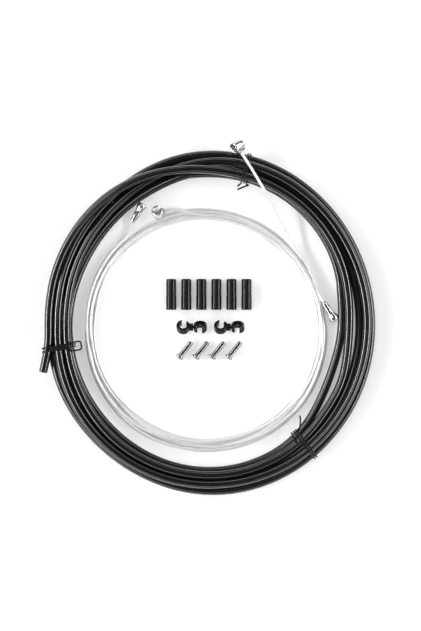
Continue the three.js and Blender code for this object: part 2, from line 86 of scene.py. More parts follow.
# lines and tubes
def smoothLine(points, step):
    # the points joined by one smooth curve, and points on it about step apart
    p = np.asarray(points, float)
    p = np.vstack([2 * p[0] - p[1], p, 2 * p[-1] - p[-2]])
    dense = []
    for a, b, c, d in zip(p[:-3], p[1:-2], p[2:-1], p[3:]):
        parts = max(4, int(np.linalg.norm(c - b) / step * 3))
        t = np.linspace(0, 1, parts, endpoint=False)[:, None]
        dense.append(0.5 * (2 * b + (c - a) * t + (2 * a - 5 * b + 4 * c - d) * t**2
                            + (3 * b - a - 3 * c + d) * t**3))
    dense = np.vstack(dense + [p[-2:-1]])
    along = np.concatenate([[0], np.cumsum(np.linalg.norm(np.diff(dense, axis=0), axis=1))])
    at = np.linspace(0, along[-1], max(2, round(along[-1] / step) + 1))
    return np.stack([np.interp(at, along, dense[:, k]) for k in range(3)], axis=1)


def lengthOf(line):
    return float(np.linalg.norm(np.diff(line, axis=0), axis=1).sum())


def framesAlong(line):
    # at each point the direction and two directions across it, which never twist
    ahead = np.gradient(line, axis=0)
    ahead /= np.linalg.norm(ahead, axis=1)[:, None]
    side = np.cross(ahead[0], (0, 0, 1))
    if np.linalg.norm(side) < 0.1:
        side = np.cross(ahead[0], (0, 1, 0))
    sides = []
    for t in ahead:
        side = side - side.dot(t) * t
        side = side / np.linalg.norm(side)
        sides.append(side)
    sides = np.array(sides)
    return ahead, sides, np.cross(ahead, sides)


def tubeMesh(name, line, section, ends, materials):
    # section(index) gives the radii round the tube and their angles; ends are (depth, radius,
    # material) rings that close each end, from the outside inwards
    ahead, side, up = framesAlong(line)
    rings, skins = [], []

    def ring(index, shift, radii, angles):
        middle = line[index] + ahead[index] * shift
        across = side[index] * np.cos(angles)[:, None] + up[index] * np.sin(angles)[:, None]
        return middle + across * np.asarray(radii)[:, None]

    count = len(section(0)[0])
    for shift, radius, material in reversed(ends):
        rings.append(ring(0, shift, np.full(count, radius), section(0)[1]))
        skins.append(material)
    for index in range(len(line)):
        rings.append(ring(index, 0, *section(index)))
        skins.append(0)
    for shift, radius, material in ends:
        skins[-1] = material
        rings.append(ring(len(line) - 1, -shift, np.full(count, radius), section(len(line) - 1)[1]))
        skins.append(material)
    points = np.vstack(rings)
    faces, slots = [], []
    for row in range(len(rings) - 1):
        for k in range(count):
            a, b = row * count + k, row * count + (k + 1) % count
            faces.append((a, b, b + count, a + count))
            slots.append(skins[row])
    faces.append(tuple(reversed(range(count))))
    faces.append(tuple(range(len(points) - count, len(points))))
    slots += [skins[0], skins[-1]]
    return newObject(name, toFrame(points), faces, materials, slots)


def newObject(name, points, faces, materials, slots=None, smooth=True):
    mesh = bpy.data.meshes.new(name)
    mesh.from_pydata([tuple(p) for p in points], [], faces)
    for material in materials:
        mesh.materials.append(material)
    if slots is not None:
        mesh.polygons.foreach_set("material_index", slots)
    mesh.polygons.foreach_set("use_smooth", [smooth] * len(mesh.polygons))
    mesh.validate()
    mesh.update()
    made = bpy.data.objects.new(name, mesh)
    scene.collection.objects.link(made)
    return made


def turned(profile, sides):
    # points and faces of a form turned about Z; its (radius, height) points either start and end
    # on Z or come back to the first
    points, rows = [], []
    for radius, height in profile:
        if radius < 1e-6:
            rows.append([len(points)] * sides)
            points.append((0, 0, height))
        else:
            rows.append(list(range(len(points), len(points) + sides)))
            points += [(radius * math.cos(2 * math.pi * k / sides),
                        radius * math.sin(2 * math.pi * k / sides), height) for k in range(sides)]
    faces = []
    for lower, upper in zip(rows[:-1], rows[1:]):
        for k in range(sides):
            ring = [lower[k], lower[(k + 1) % sides], upper[(k + 1) % sides], upper[k]]
            face = list(dict.fromkeys(ring))
            if len(face) > 2:
                faces.append(tuple(face))
    return points, faces


def rounded(profile, radius, steps=3):
    # the profile with each corner between its ends rounded off
    out = [profile[0]]
    for before, here, after in zip(profile[:-2], profile[1:-1], profile[2:]):
        a, b, c = (np.array(p, float) for p in (before, here, after))
        cut = min(radius, np.linalg.norm(a - b) * 0.4, np.linalg.norm(c - b) * 0.4)
        start = b + (a - b) / np.linalg.norm(a - b) * cut
        stop = b + (c - b) / np.linalg.norm(c - b) * cut
        for t in np.linspace(0, 1, steps + 1):
            point = (1 - t) ** 2 * start + 2 * t * (1 - t) * b + t**2 * stop
            out.append((max(0, float(point[0])), float(point[1])))
    return out + [profile[-1]]


def sharpen(made, degrees):
    # edges steeper than this stay crisp, the rest shade smoothly
    made.data.set_sharp_from_angle(angle=math.radians(degrees))
    return made


# materials: a plain colour and finish, then the grain: how many to the metre, how far its noise
# spreads, the roughness and colour at either end of it, and its bump
finishes = {
    "housingJacket": {
        "colour": (0.005, 0.005, 0.006), "roughness": 0.25, "coat": 1, "coatRoughness": 0.07,
        "grains": 900, "grainRoughness": (0.14, 0.2), "bump": 0.1,
        "grainColours": ((0.003, 0.003, 0.004), (0.007, 0.007, 0.008)),
    },
    "housingLiner": {
        "colour": (0.55, 0.55, 0.53), "roughness": 0.5, "grains": 1500, "grainRoughness": (0.42, 0.6),
    },
    "housingWinding": {
        "colour": (0.35, 0.35, 0.36), "roughness": 0.4, "metallic": 1,
        "grains": 1500, "grainRoughness": (0.3, 0.5),
    },
    "steelWire": {
        "colour": (0.9, 0.91, 0.92), "roughness": 0.38, "metallic": 0.6,
        "grains": 300, "spread": 0.22, "grainRoughness": (0.34, 0.42),
        "grainColours": ((0.88, 0.89, 0.9), (0.92, 0.92, 0.93)),
    },
    "castZinc": {
        "colour": (0.66, 0.67, 0.68), "roughness": 0.24, "metallic": 1,
        "grains": 900, "grainRoughness": (0.2, 0.28), "bump": 0.2,
        "grainColours": ((0.62, 0.63, 0.64), (0.7, 0.71, 0.72)),
    },
    "ferrulePlastic": {
        "colour": (0.005, 0.005, 0.006), "roughness": 0.2, "specular": 0.35,
        "grains": 1500, "grainRoughness": (0.18, 0.22), "bump": 0.03,
        "grainColours": ((0.004, 0.004, 0.005), (0.006, 0.006, 0.007)),
    },
    "clipPlastic": {
        "colour": (0.003, 0.003, 0.0035), "roughness": 0.12, "specular": 0.35,
        "grains": 800, "grainRoughness": (0.07, 0.1),
        "grainColours": ((0.0025, 0.0025, 0.003), (0.004, 0.004, 0.0045)),
    },
    "crimpMetal": {
        "colour": (0.39, 0.382, 0.365), "roughness": 0.08, "metallic": 1,
        "grains": 300, "grainRoughness": (0.06, 0.09),
        "grainColours": ((0.38, 0.37, 0.355), (0.41, 0.4, 0.385)),
    },
    "tieCoating": {
        "colour": (0.006, 0.006, 0.007), "roughness": 0.35, "specular": 0.2,
        "grains": 1800, "grainRoughness": (0.3, 0.42), "bump": 0.2,
        "grainColours": ((0.004, 0.004, 0.005), (0.009, 0.009, 0.010)),
    },
}
grain = {"spread": 0.2, "detail": 4, "fineness": 0.6, "bumpDepth": 0.02}
sockets = {"roughness": "Roughness", "metallic": "Metallic", "specular": "Specular IOR Level",
           "coat": "Coat Weight", "coatRoughness": "Coat Roughness"}


def newMaterial(name, facts):
    material = bpy.data.materials.new(name)
    material.use_nodes = True
    shader = material.node_tree.nodes["Principled BSDF"]
    shader.inputs["Base Color"].default_value = (*facts["colour"], 1)
    for fact, socket in sockets.items():
        if fact in facts:
            shader.inputs[socket].default_value = facts[fact]
    return material


def addGrain(material, facts):
    # noise in object space drives the roughness, and the colour and bump where they are given
    nodes, links = material.node_tree.nodes, material.node_tree.links
    shader = nodes["Principled BSDF"]
    spread = facts.get("spread", grain["spread"])
    place = nodes.new("ShaderNodeTexCoord")
    noise = nodes.new("ShaderNodeTexNoise")
    noise.inputs["Scale"].default_value = facts["grains"]
    noise.inputs["Detail"].default_value = grain["detail"]
    noise.inputs["Roughness"].default_value = grain["fineness"]
    links.new(place.outputs["Object"], noise.inputs["Vector"])
    rough = nodes.new("ShaderNodeMapRange")
    rough.inputs["From Min"].default_value = 0.5 - spread
    rough.inputs["From Max"].default_value = 0.5 + spread
    rough.inputs["To Min"].default_value, rough.inputs["To Max"].default_value = facts["grainRoughness"]
    links.new(noise.outputs["Fac"], rough.inputs["Value"])
    links.new(rough.outputs["Result"], shader.inputs["Roughness"])
    if "grainColours" in facts:
        ramp = nodes.new("ShaderNodeValToRGB")
        places = (0.5 - spread, 0.5 + spread)
        for stop, at, colour in zip(ramp.color_ramp.elements, places, facts["grainColours"]):
            stop.position, stop.color = at, (*colour, 1)
        links.new(noise.outputs["Fac"], ramp.inputs["Fac"])
        links.new(ramp.outputs["Color"], shader.inputs["Base Color"])
    if "bump" in facts:
        height = nodes.new("ShaderNodeBump")
        height.inputs["Strength"].default_value = facts["bump"]
        height.inputs["Distance"].default_value = grain["bumpDepth"] * mm
        links.new(noise.outputs["Fac"], height.inputs["Height"])
        links.new(height.outputs["Normal"], shader.inputs["Normal"])
    return material


finish = {name: addGrain(newMaterial(name, facts), facts) for name, facts in finishes.items()}
print("materials made")


# strands that lie in a bundle: each is held as its distance across the bundle and its height,
# at equal steps of angle, so that turns which pass the same angle can be kept apart there
settling = {
    # from this share of the rounds on, strands stop sinking and are only pushed apart
    "lastRounds": 0.85,
    "pushes": 3, "lastPushes": 6,
    "easeAcross": 0.5, "easeHeight": 0.8,
}


def neighbours(strands, turn):
    pairs = []
    for n, one in enumerate(strands):
        for m in range(n, len(strands)):
            other = strands[m]
            reach = len(one["across"]) + len(other["across"]) + abs(one["first"] - other["first"])
            most = reach // turn + 1
            for k in range(-most, most + 1):
                shift = k * turn + other["first"] - one["first"]
                start, stop = max(0, shift), min(len(one["across"]), len(other["across"]) + shift)
                if stop > start and not (n == m and shift <= 0):
                    pairs.append((one, slice(start, stop), other, slice(start - shift, stop - shift)))
    return pairs


def pushApart(pairs, diameter):
    for one, here, other, there in pairs:
        across = one["across"][here] - other["across"][there]
        above = one["height"][here] - other["height"][there]
        gap = np.hypot(across, above) + 1e-6
        push = np.maximum(0, diameter - gap) / (2 * gap)
        one["across"][here] += push * across
        one["height"][here] += push * above
        other["across"][there] -= push * across
        other["height"][there] -= push * above


def eased(values, share):
    out = values.copy()
    out[1:-1] += share * ((values[:-2] + values[2:]) / 2 - values[1:-1])
    return out


def settle(strands, facts, turn):
    # turns sink on to each other, keep a diameter apart and stay near their own lanes
    pairs = neighbours(strands, turn)
    diameter, rounds = facts["diameter"] * facts["spacing"], facts["rounds"]
    for strand in strands:
        strand["lane"] = strand["across"].copy()
        strand["pinned"] = strand["height"].copy()
    for count in range(rounds):
        last = count > rounds * settling["lastRounds"]
        for s in strands:
            s["across"] += facts["pull"] * (s["lane"] - s["across"])
            s["height"] -= 0 if last else facts["sink"]
            for _ in range(2):
                s["across"] = eased(s["across"], settling["easeAcross"])
                s["height"] = eased(s["height"], settling["easeHeight"])
        for _ in range(settling["lastPushes"] if last else settling["pushes"]):
            pushApart(pairs, diameter)
            for s in strands:
                s["height"] = np.maximum(s["height"], facts["floorHeight"] + diameter / 2)
                held = s["held"]
                s["across"][held], s["height"][held] = s["lane"][held], s["pinned"][held]


# housing: one length of 5 mm housing, wound from its hidden end to its free end
housing = {
    "diameter": 5,
    # half the width and half the height of the oval that the bundle's middle line follows
    "semiX": 85.8, "semiY": 90.8,
    "floorHeight": 1.28,
    # a place is worked out every few degrees, and the tube has a ring at this distance
    "stepDeg": 3, "ringStep": 0.85, "sides": 18,
    # every second ring is a little smaller: the steel winding shows through as fine ribs
    "ribDepth": 0.02,
    "endRounding": 0.12,
    # materials, and the cut face: how deep each ring lies, its radius, and which of them it is of
    "layers": ["housingJacket", "housingWinding", "housingLiner"],
    "cutFace": [(0, 1.95, 0), (0.05, 1.9, 1), (0.05, 1.35, 1), (0, 1.3, 2), (0, 0.95, 2), (3, 0.9, 2)],
    # how closely strands may lie, in diameters, then how they settle on each other
    "spacing": 1.01, "rounds": 260, "pull": 0.08, "sink": 0.05,
    "layerRise": 4.33,
    "laneRounds": 4, "laneEase": 0.6,
    # angle wound so far, distance outwards from the bundle's middle line, layer
    "lanes": [
        (97.5, -4.8, 1), (104, -6.6, 0.8), (112, -7.8, 0.2), (120, -8.2, 0), (132, -8.4, 0),
        (142, -8.3, 0), (150, -8.1, 0), (160, -7.3, 0), (170, -6.2, 0), (180, -5, 0),
        (205, -5.4, 0), (225, -6, 0), (240, -6.3, 0), (270, -6.2, 0), (300, -6.1, 0),
        (308, -6.3, 0), (314, -7.7, 0), (320, -9.8, 0), (330, -11.6, 0), (340, -12.1, 0),
        (350, -10.9, 0), (360, -9.4, 0), (370, -7.8, 0), (377, -6.6, 0), (390, -5.6, 0),
        (405, -5.2, 0), (435, -5.2, 0), (452, -6, 0), (462, -5.6, 0), (472, -4.2, 0), (485, -3, 0),
        (510, -2.2, 0), (540, 0.4, 0), (570, -0.6, 0), (600, -1.3, 0), (630, -1.2, 0),
        (675, 0.4, 0), (720, -0.1, 0), (765, -0.1, 0), (810, -0.1, 0), (835, 0.8, 0), (870, 2.8, 0),
        (900, 5.4, 0), (922, 5.6, 0), (936, 4.9, 0), (952, 3.6, 0), (965, 3.6, 0), (980, 4.6, 0),
        (1000, 5.6, 0), (1020, 6.2, 0), (1035, 6.4, 0), (1060, 7, 0), (1080, 6.5, 0),
        (1125, 5.4, 0), (1165, 5.4, 0), (1178, 4.4, 0.3), (1188, 2.9, 0.8), (1200, 1.6, 1),
        (1215, 1.1, 1), (1230, 1, 1), (1260, 0.6, 1), (1269, 0.5, 1), (1280, 2.1, 1),
        (1300, 2.7, 1), (1320, 1.4, 1), (1350, 0.6, 1), (1380, 2.4, 1), (1395, 3.4, 1),
        (1440, 4.6, 1.05), (1485, 2.8, 1), (1525, 2, 1), (1545, -1.2, 1), (1560, -3.2, 1),
        (1575, -3.6, 1), (1590, -3.8, 1), (1605, -4.1, 1), (1620, -4.6, 1), (1635, -4.3, 1),
        (1665, -2.8, 1), (1710, -4, 1), (1740, -3.4, 1), (1754, -3.9, 0.9), (1761, -4.7, 0.8),
        (1768, -4.2, 0.75), (1775, -3.8, 0.7), (1782, -4.6, 0.7), (1789, -5.9, 0.7),
        (1800, -6.2, 0.7), (1812, -5.2, 0.8), (1830, -3.6, 0.95), (1845, -3.2, 1), (1865, -4.2, 1),
        (1880, -5.2, 1), (1892, -4.4, 1.3), (1902, -2.2, 1.8), (1912, 0.4, 2), (1925, 2.9, 1.9),
        (1945, 4.8, 1.6), (1960, 5.4, 1.35), (1978, 5.4, 1.2), (1986, 5.2, 1.15), (1989, 5.6, 1.1),
        (1992, 7.6, 0.9), (1996.5, 12.4, 0.5),
    ],
    # stretches that stay on their lanes exactly: over the gap, and the cut end
    "firm": [(1755, 1815), (1968, 1997)],
}


def bundleRadius(angle):
    # from the ring's middle to the bundle's middle line
    a, b = housing["semiX"], housing["semiY"]
    return a * b / np.hypot(b * np.cos(angle), a * np.sin(angle))


def housingLanes():
    # the lane plan at equal steps of angle, with soft bends between its points
    plan = np.array(housing["lanes"], float)
    angles = np.arange(plan[0, 0], plan[-1, 0] + 0.01, housing["stepDeg"])
    across, layer = (np.interp(angles, plan[:, 0], plan[:, k]) for k in (1, 2))
    for _ in range(housing["laneRounds"]):
        across, layer = eased(across, housing["laneEase"]), eased(layer, housing["laneEase"])
    return angles, across, layer


def woundHousing():
    turn = round(360 / housing["stepDeg"])
    angles, across, layer = housingLanes()
    strand = {
        "first": round(angles[0] / housing["stepDeg"]),
        "across": across,
        "height": housing["floorHeight"] + housing["diameter"] / 2 + layer * housing["layerRise"],
        "held": np.any([(angles >= a) & (angles <= b) for a, b in housing["firm"]], axis=0),
    }
    settle([strand], housing, turn)
    return np.radians(angles), strand


housingAngles, housingStrand = woundHousing()


def housingLine():
    reach = bundleRadius(housingAngles) + housingStrand["across"]
    points = np.stack([reach * np.cos(housingAngles), reach * np.sin(housingAngles),
                       housingStrand["height"]], axis=1)
    return smoothLine(points, housing["ringStep"])


def makeHousing():
    line = housingLine()
    radius, sides = housing["diameter"] / 2, housing["sides"]
    angles = np.linspace(0, 2 * math.pi, sides, endpoint=False)

    def section(index):
        inside = 0 < index < len(line) - 1
        smaller = housing["ribDepth"] * (index % 2) if inside else housing["endRounding"]
        return np.full(sides, radius - smaller), angles

    layers = [finish[name] for name in housing["layers"]]
    made = tubeMesh("outerHousing", line, section, housing["cutFace"], layers)
    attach(sharpen(made, 60), "root")
    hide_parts("housing_coil", "housing_loose_turn", "housing_free_end")
    print(f"housing: {lengthOf(line):.0f} mm, {len(made.data.polygons)} faces")


makeHousing()


# inner wires: two 1.6 mm wires, wound into one loose ring and woven through each other
wireMiddle = middleOf("front_wire_coil") * (1, 1, 0) - ringMiddle
wire = {
    "diameter": 1.6,
    "stepDeg": 3,
    "floorHeight": 0.02,
    "ringStep": 1.0,
    "outerWires": 12,
    "grooveDepth": 0.04,
    "layLength": 15,
    "endRings": [(0, 0.5, 0), (0, 0.2, 0)],
    # as for the housing, then how the lanes and the heights are smoothed
    "spacing": 1.02, "rounds": 160, "pull": 0.05, "sink": 0.02,
    "laneRounds": 3, "laneEase": 0.6, "heightRounds": 6, "heightEase": 0.7,
    # the part of a turn in which a wire goes from one pass's place to the next
    "changeOver": 0.25,
    # angle round the ring, outer and inner edge of the band of wires
    "band": [
        (0, 68.4, 63.6), (45, 67.6, 60.5), (70, 68.0, 61.2), (90, 69.6, 62.2), (100, 70.2, 62.8),
        (120, 70.3, 63.4), (150, 70.7, 64.6), (165, 69.9, 63.0), (190, 68.8, 64.0),
        (210, 70.3, 63.2), (240, 71.0, 62.4), (270, 69.8, 63.0), (285, 70.8, 62.4),
        (300, 71.0, 62.6), (320, 71.6, 62.6), (340, 70.3, 63.4), (360, 68.4, 63.2),
    ],
    # place of each pass in the band, 0 inner to 1 outer: a middle value, then two waves, each with
    # its size, how many to a turn, and its phase
    "frontPasses": [(0.92, 0.10, 1, 40, 0.05, 3, 10), (0.60, 0.34, 1, 215, 0.06, 2, 90),
                    (0.80, 0.18, 2, 310, 0.06, 3, 200)],
    "rearPasses": [(0.42, 0.36, 1, 150, 0.06, 2, 30), (0.08, 0.12, 1, 20, 0.05, 3, 120),
                   (0.50, 0.48, 1, 285, 0.05, 2, 250), (0.22, 0.2, 2, 80, 0.05, 3, 300),
                   (0.30, 0.3, 1, 75, 0.06, 2, 180)],
}


def onWireRing(angleDeg, radius, height):
    angle = math.radians(angleDeg)
    return wireMiddle + (radius * math.cos(angle), radius * math.sin(angle), height)


def wireLane(passes, angles, first):
    # radius of one wire at each angle
    band = np.array(wire["band"], float)
    outer = np.interp(angles % 360, band[:, 0], band[:, 1]) - wire["diameter"] / 2
    inner = np.interp(angles % 360, band[:, 0], band[:, 2]) + wire["diameter"] / 2
    places = []
    for base, swing, waves, phase, ripple, ripples, offset in passes:
        places.append(base + swing * np.sin(np.radians(waves * angles + phase))
                      + ripple * np.sin(np.radians(ripples * angles + offset)))
    wound, change = (angles - first) / 360, wire["changeOver"]
    place = places[0]
    for index, values in enumerate(places[1:], 1):
        share = np.clip((wound - index + change / 2) / change, 0, 1)
        soft = share * share * (3 - 2 * share)
        place = place * (1 - soft) + values * soft
    return inner + np.clip(place, 0, 1) * (outer - inner)


def knots(strand, angles, points):
    # the strand's two ends lead through these (angle, radius, height) points
    for part in points:
        at = np.array(part, float)
        at = at[at[:, 0].argsort()]
        inside = (angles >= at[0, 0] - 0.01) & (angles <= at[-1, 0] + 0.01)
        strand["across"][inside] = np.interp(angles[inside], at[:, 0], at[:, 1])
        strand["height"][inside] = np.interp(angles[inside], at[:, 0], at[:, 2])
        strand["held"] |= inside


def layDown(strands, turn):
    # each turn is laid on what already lies at its angle
    diameter = wire["diameter"] * wire["spacing"]
    below = [[] for _ in range(turn)]
    for strand in strands:
        for index, across in enumerate(strand["across"]):
            spot = below[(strand["first"] + index) % turn]
            height = wire["floorHeight"] + diameter / 2
            for other, level in spot:
                apart = abs(across - other)
                if apart < diameter:
                    height = max(height, level + math.sqrt(diameter**2 - apart**2))
            if not strand["held"][index]:
                strand["height"][index] = height
            spot.append((across, strand["height"][index]))
        for _ in range(wire["heightRounds"]):
            smoother = eased(strand["height"], wire["heightEase"])
            strand["height"] = np.where(strand["held"], strand["height"], smoother)


# heads and leads: join and leave are places (angle, radius, height) on the ring, and so is the rear
# barrel's lead; the other leads are points away from it
frontBarrel = {
    "centre": (16.2, 100, 12.93), "headingDeg": -59, "riseDeg": 30,
    "leave": [(1113, 67.3, 3.6), (1116, 67.5, 3.9), (1119, 67.8, 4.05), (1122, 68.3, 4.2)],
    "lead": [(46.7, 47.5, 4.9), (42.5, 55.7, 6.5), (37, 65.7, 9.2), (31.6, 75.1, 11.73),
             (26.8, 83.1, 12.63), (22.2, 90.5, 13.03)],
}
rearBarrel = {
    "angleDeg": 112.6, "radius": 71.7, "leanDeg": 33, "height": 4.59,
    "leave": [(1530, 64.9, 3.9), (1535, 65.4, 4.1), (1540, 68.4, 4.2)],
    "lead": [(104.5, 70.8, 4.3)],
}
frontPear = {
    "wireEnd": (-43.9, 57.5, 1.95), "headingDeg": 59.6,
    "lead": [(-46.1, 53.5, 1.4), (-48.3, 50, 1.1)],
    "join": [(135, 70.4, 0.95), (138, 69.9, 0.85)],
}
rearPear = {
    "wireEnd": (65.4, 11.7, 5.4), "headingDeg": -58,
    "lead": [(62.6, 16.3, 4.8)],
    "join": [(21, 66.2, 4.4), (24, 65.6, 4.2), (27, 65.1, 4.0)],
}


def woundWires():
    turn = round(360 / wire["stepDeg"])
    strands = []
    for passes, join, leave in (("frontPasses", frontPear["join"], frontBarrel["leave"]),
                                ("rearPasses", rearPear["join"], rearBarrel["leave"])):
        angles = np.arange(join[0][0], leave[-1][0] + 0.01, wire["stepDeg"])
        strand = {
            "first": round(angles[0] / wire["stepDeg"]),
            "across": wireLane(wire[passes], angles, angles[0]),
            "height": np.zeros(len(angles)),
            "held": np.zeros(len(angles), bool),
            "angles": angles,
        }
        knots(strand, angles, [join, leave])
        for _ in range(wire["laneRounds"]):
            smoother = eased(strand["across"], wire["laneEase"])
            strand["across"] = np.where(strand["held"], strand["across"], smoother)
        strands.append(strand)
    layDown(strands, turn)
    settle(strands, wire, turn)
    return strands


frontStrand, rearStrand = woundWires()


def stretchOnRing(strand):
    return [onWireRing(a, r, z) for a, r, z in zip(strand["angles"], strand["across"], strand["height"])]


def spun(axis, degrees):
    return Matrix.Rotation(math.radians(degrees), 3, axis)


def placed(points, turning, place):
    return [np.array(turning @ Vector(p)) + place for p in points]


# heads on the inner wires
barrel = {
    "diameter": 7, "length": 6.4, "chamfer": 0.45, "dishDepth": 0.35, "rimWidth": 0.8,
    "collarDiameter": 3, "collarHeight": 0.6, "collarSides": 32, "sides": 64,
}
pear = {
    "headDiameter": 6.2, "stemDiameter": 4.1, "neckDiameter": 3.2,
    "stemLength": 8, "headLength": 4.5, "floorGap": 0.02, "sides": 48,
    # the stretch of the head that has its full diameter, in shares of its length
    "fullFrom": 0.5, "fullTo": 0.8,
}


def combined(first, operation, other):
    # one form with another joined to it, UNION, or cut out of it, DIFFERENCE
    change = first.modifiers.new("change", "BOOLEAN")
    change.operation, change.solver, change.object = operation, "EXACT", other
    bpy.context.view_layer.update()
    result = first.evaluated_get(bpy.context.evaluated_depsgraph_get())
    first.data = bpy.data.meshes.new_from_object(result)
    first.modifiers.clear()
    bpy.data.objects.remove(other)
    return first


def turnedObject(name, profile, sides, turning, place, material):
    points, faces = turned(profile, sides)
    return newObject(name, toFrame(placed(points, turning, place)), faces, [material])


def makeBarrel(name, node, centre, turning):
    radius, half = barrel["diameter"] / 2, barrel["length"] / 2
    dish, rim = barrel["dishDepth"], radius - barrel["rimWidth"]
    side = [(0, -half + dish), (rim - dish, -half + dish), (rim, -half), (radius - barrel["chamfer"], -half),
            (radius, -half + barrel["chamfer"])]
    profile = rounded(side + [(r, -z) for r, z in reversed(side)], 0.22)
    body = turnedObject(name, profile, barrel["sides"], turning, centre, finish["castZinc"])
    collarRadius, top = barrel["collarDiameter"] / 2, radius + barrel["collarHeight"]
    collar = rounded([(0, radius / 2), (collarRadius, radius / 2), (collarRadius, top - 0.3),
                      (collarRadius - 0.3, top), (0, top)], 0.2)
    stub = turnedObject("collar", collar, barrel["collarSides"], turning @ spun("Y", 90), centre,
                        finish["castZinc"])
    made = sharpen(combined(body, "UNION", stub), 40)
    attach(made, "root")
    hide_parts(node)
    return made


def makePear(name, node, facts):
    head, stem, neck = (pear[k] / 2 for k in ("headDiameter", "stemDiameter", "neckDiameter"))
    stemLength, headLength = pear["stemLength"], pear["headLength"]
    fullFrom, fullTo = (stemLength + headLength * pear[k] for k in ("fullFrom", "fullTo"))
    length = stemLength + headLength
    headHeight = head + pear["floorGap"]
    # the head tilts about its wire end until its full stretch rests on the floor
    contact = fullTo if facts["wireEnd"][2] > headHeight else fullFrom
    drop = math.degrees(math.asin((facts["wireEnd"][2] - headHeight) / contact))
    profile = rounded([(0, 0), (neck - 0.3, 0), (neck, 0.5), (stem, stemLength * 0.55),
                       (stem, stemLength * 0.9), (head - 0.2, stemLength + headLength * 0.35),
                       (head, fullFrom), (head, fullTo), (head - 0.5, length - 0.2),
                       (head - 1.1, length), (0, length)], 0.6, 5)
    turning = spun("Z", facts["headingDeg"]) @ spun("Y", drop) @ spun("Y", 90)
    made = turnedObject(name, profile, pear["sides"], turning, facts["wireEnd"], finish["castZinc"])
    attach(sharpen(made, 40), "root")
    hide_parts(node)
    return made


# a wire ends a little inside its barrel head's collar
barrelReach = barrel["diameter"] / 2 + barrel["collarHeight"] - 0.3
frontBarrelHead = makeBarrel("frontBarrelHead", "front_barrel_head", frontBarrel["centre"],
                             spun("Z", frontBarrel["headingDeg"]) @ spun("X", 90 - frontBarrel["riseDeg"]))
rearBarrelCentre = onWireRing(rearBarrel["angleDeg"], rearBarrel["radius"], rearBarrel["height"])
rearBarrelHead = makeBarrel("rearBarrelHead", "rear_barrel_head", rearBarrelCentre,
                            spun("Z", rearBarrel["angleDeg"] - 90) @ spun("X", -rearBarrel["leanDeg"]))
frontPearHead = makePear("frontPearHead", "front_pear_head", frontPear)
rearPearHead = makePear("rearPearHead", "rear_pear_head", rearPear)
print("heads made")


def makeWire(name, points, nodes):
    line = smoothLine(points, wire["ringStep"])
    count = wire["outerWires"] * 2
    angles = np.linspace(0, 2 * math.pi, count, endpoint=False)
    radii = wire["diameter"] / 2 - wire["grooveDepth"] * (np.arange(count) % 2)

    def section(index):
        return radii, angles + 2 * math.pi * index * wire["ringStep"] / wire["layLength"]

    made = tubeMesh(name, line, section, wire["endRings"], [finish["steelWire"]])
    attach(made, "root")
    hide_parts(*nodes)
    print(f"{name}: {lengthOf(line):.0f} mm, {len(made.data.polygons)} faces")


def makeWires():
    heading = math.radians(frontBarrel["headingDeg"])
    centre = np.array(frontBarrel["centre"])
    frontEnd = centre + barrelReach * np.array([math.cos(heading), math.sin(heading), 0])
    front = [frontPear["wireEnd"], *frontPear["lead"], *stretchOnRing(frontStrand),
             *frontBarrel["lead"], frontEnd]
    makeWire("frontInnerWire", front, ["front_wire_coil", "front_barrel_lead", "front_pear_lead"])
    heading = math.radians(rearBarrel["angleDeg"] - 90)
    rearEnd = rearBarrelCentre + barrelReach * np.array([math.cos(heading), math.sin(heading), 0])
    rear = [rearPear["wireEnd"], *rearPear["lead"], *stretchOnRing(rearStrand),
            *[onWireRing(*p) for p in rearBarrel["lead"]], rearEnd]
    makeWire("rearInnerWire", rear, ["rear_wire_coil", "rear_barrel_lead", "rear_pear_lead"])


makeWires()


# ties of coated wire, each pulled round the strands that pass at its angle
tie = {
    "diameter": 0.95, "gap": 0.12, "floorGap": 0.03, "sides": 12, "ringStep": 0.35, "wrapSpacing": 1.5,
    "endRings": [(0, 0.3, 0), (0.02, 0.15, 0)],
}


def strandsAt(angleDeg):
    found = []
    degrees = np.degrees(housingAngles)
    for wound in range(int(degrees[0] // 360), int(degrees[-1] // 360) + 1):
        at = angleDeg % 360 + 360 * wound
        if degrees[0] <= at <= degrees[-1]:
            found.append((np.interp(at, degrees, housingStrand["across"]),
                          np.interp(at, degrees, housingStrand["height"])))
    return np.array(found)


def hullPoint(centres, angleDeg, along):
    # the tie touches the strand that reaches furthest in this direction of the bundle's section
    angle = math.radians(angleDeg)
    way = np.array([math.cos(angle), math.sin(angle)])
    reach = housing["diameter"] / 2 + tie["diameter"] / 2 + tie["gap"]
    across, height = centres[(centres @ way).argmax()] + way * reach
    return (across, along, max(height, tie["diameter"] / 2 + tie["floorGap"]))


def hullPass(centres, fromDeg, toDeg, alongFrom, alongTo, count):
    angles = np.linspace(fromDeg, toDeg, count)
    alongs = np.linspace(alongFrom, alongTo, count)
    return [hullPoint(centres, a, b) for a, b in zip(angles, alongs)]


def makeTie(name, node, angleDeg, points):
    angle = math.radians(angleDeg)
    out = np.array([math.cos(angle), math.sin(angle), 0])
    along = np.array([-math.sin(angle), math.cos(angle), 0])
    middle = out * bundleRadius(angle)
    placedPoints = [middle + out * x + along * y + np.array([0, 0, z]) for x, y, z in points]
    line = smoothLine(placedPoints, tie["ringStep"])
    angles = np.linspace(0, 2 * math.pi, tie["sides"], endpoint=False)

    def section(index):
        return np.full(tie["sides"], tie["diameter"] / 2), angles

    made = tubeMesh(name, line, section, tie["endRings"], [finish["tieCoating"]])
    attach(sharpen(made, 60), "root")
    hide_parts(node)
    print(f"{name}: {lengthOf(line):.0f} mm of tie wire")


